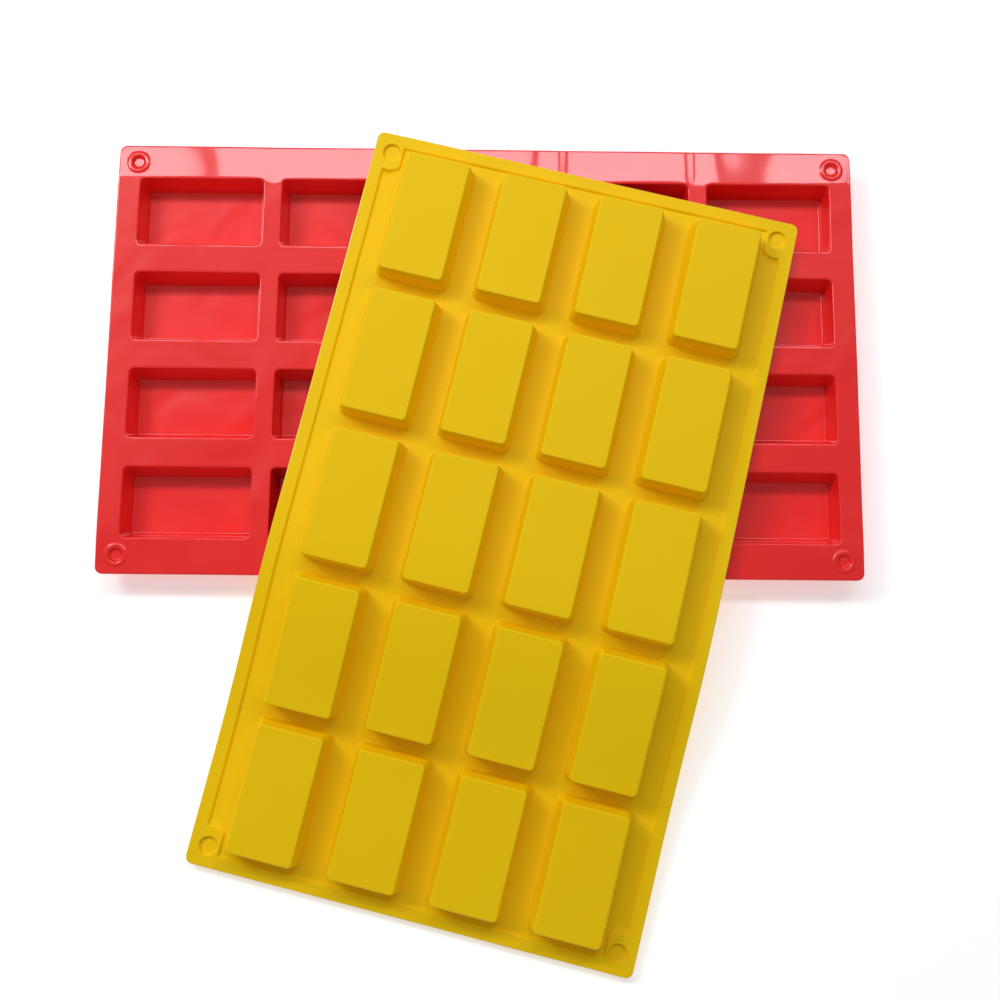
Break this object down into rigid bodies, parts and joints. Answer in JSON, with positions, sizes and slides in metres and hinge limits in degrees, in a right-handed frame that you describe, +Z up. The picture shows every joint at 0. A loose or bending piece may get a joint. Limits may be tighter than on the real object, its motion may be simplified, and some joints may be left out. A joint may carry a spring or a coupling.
{
  "type": "silicone soap bar mould",
  "caption": "Stacked silicone mould trays of small rectangular soap bar cavities, the lower mouths up, the upper upside down across it; each tray flexes between its rows.",
  "frame": {"origin": "middle of the stack outline, on the surface it stands on", "axes": "+Z up; +X along the lower tray, across the stack; +Y across the lower tray, towards the end of the upper tray that lies on it"},
  "size_m": [0.295, 0.3244, 0.0274],
  "materials": {
    "red_silicone": "glossy mouth face, satin underside",
    "yellow_silicone": "satin underside, glossy mouth face"
  },
  "bodies": {
    "lower_row_1": {"lower_row_1": "red_silicone"},
    "lower_row_2": {"lower_row_2": "red_silicone", "lower_web_1": "red_silicone"},
    "lower_row_3": {"lower_row_3": "red_silicone", "lower_web_2": "red_silicone", "lower_web_3": "red_silicone"},
    "lower_row_4": {"lower_row_4": "red_silicone", "lower_web_4": "red_silicone"},
    "lower_row_5": {"lower_row_5": "red_silicone"},
    "upper_row_1": {"upper_row_1": "yellow_silicone"},
    "upper_row_2": {"upper_row_2": "yellow_silicone", "upper_web_1": "yellow_silicone"},
    "upper_row_3": {"upper_row_3": "yellow_silicone", "upper_web_2": "yellow_silicone", "upper_web_3": "yellow_silicone"},
    "upper_row_4": {"upper_row_4": "yellow_silicone", "upper_web_4": "yellow_silicone"},
    "upper_row_5": {"upper_row_5": "yellow_silicone"}
  },
  "joints": [
    {"name": "lower_flex_3", "type": "hinge", "parent": "lower_row_3", "child": "lower_row_4", "pos_m": [0.02845, 0.07004, 0.0117], "axis": [0, 1, 0], "range_deg": [0, 30], "stiffness_Nm_per_rad": 0.024, "deforming": ["lower_web_3"]},
    {"name": "lower_flex_4", "type": "hinge", "parent": "lower_row_4", "child": "lower_row_5", "pos_m": [0.08535, 0.07004, 0.0117], "axis": [0, 1, 0], "range_deg": [0, 30], "stiffness_Nm_per_rad": 0.024, "deforming": ["lower_web_4"]},
    {"name": "lower_flex_2", "type": "hinge", "parent": "lower_row_3", "child": "lower_row_2", "pos_m": [-0.02845, 0.07004, 0.0117], "axis": [0, -1, 0], "range_deg": [0, 30], "stiffness_Nm_per_rad": 0.024, "deforming": ["lower_web_2"]},
    {"name": "lower_flex_1", "type": "hinge", "parent": "lower_row_2", "child": "lower_row_1", "pos_m": [-0.08535, 0.07004, 0.0117], "axis": [0, -1, 0], "range_deg": [0, 30], "stiffness_Nm_per_rad": 0.024, "deforming": ["lower_web_1"]},
    {"name": "upper_lift", "type": "slide", "parent": "lower_row_3", "child": "upper_row_3", "axis": [0, 0, 1], "range_m": [0, 0.12]},
    {"name": "upper_flex_3", "type": "hinge", "parent": "upper_row_3", "child": "upper_row_4", "pos_m": [0.0146, 0.02715, 0.01519], "axis": [0.9736, -0.2284, 0], "range_deg": [0, 30], "stiffness_Nm_per_rad": 0.024, "deforming": ["upper_web_3"]},
    {"name": "upper_flex_4", "type": "hinge", "parent": "upper_row_4", "child": "upper_row_5", "pos_m": [0.02759, 0.08254, 0.01465], "axis": [0.9736, -0.2284, 0], "range_deg": [0, 30], "stiffness_Nm_per_rad": 0.024, "deforming": ["upper_web_4"]},
    {"name": "upper_flex_2", "type": "hinge", "parent": "upper_row_3", "child": "upper_row_2", "pos_m": [0.00161, -0.02824, 0.01574], "axis": [-0.9736, 0.2284, 0], "range_deg": [0, 42], "stiffness_Nm_per_rad": 0.024, "springref_deg": 12, "deforming": ["upper_web_2"]},
    {"name": "upper_flex_1", "type": "hinge", "parent": "upper_row_2", "child": "upper_row_1", "pos_m": [-0.01113, -0.08254, 0.00444], "axis": [-0.9736, 0.2284, 0], "range_deg": [-9, 21], "stiffness_Nm_per_rad": 0.024, "springref_deg": -9, "deforming": ["upper_web_1"]}
  ]
}
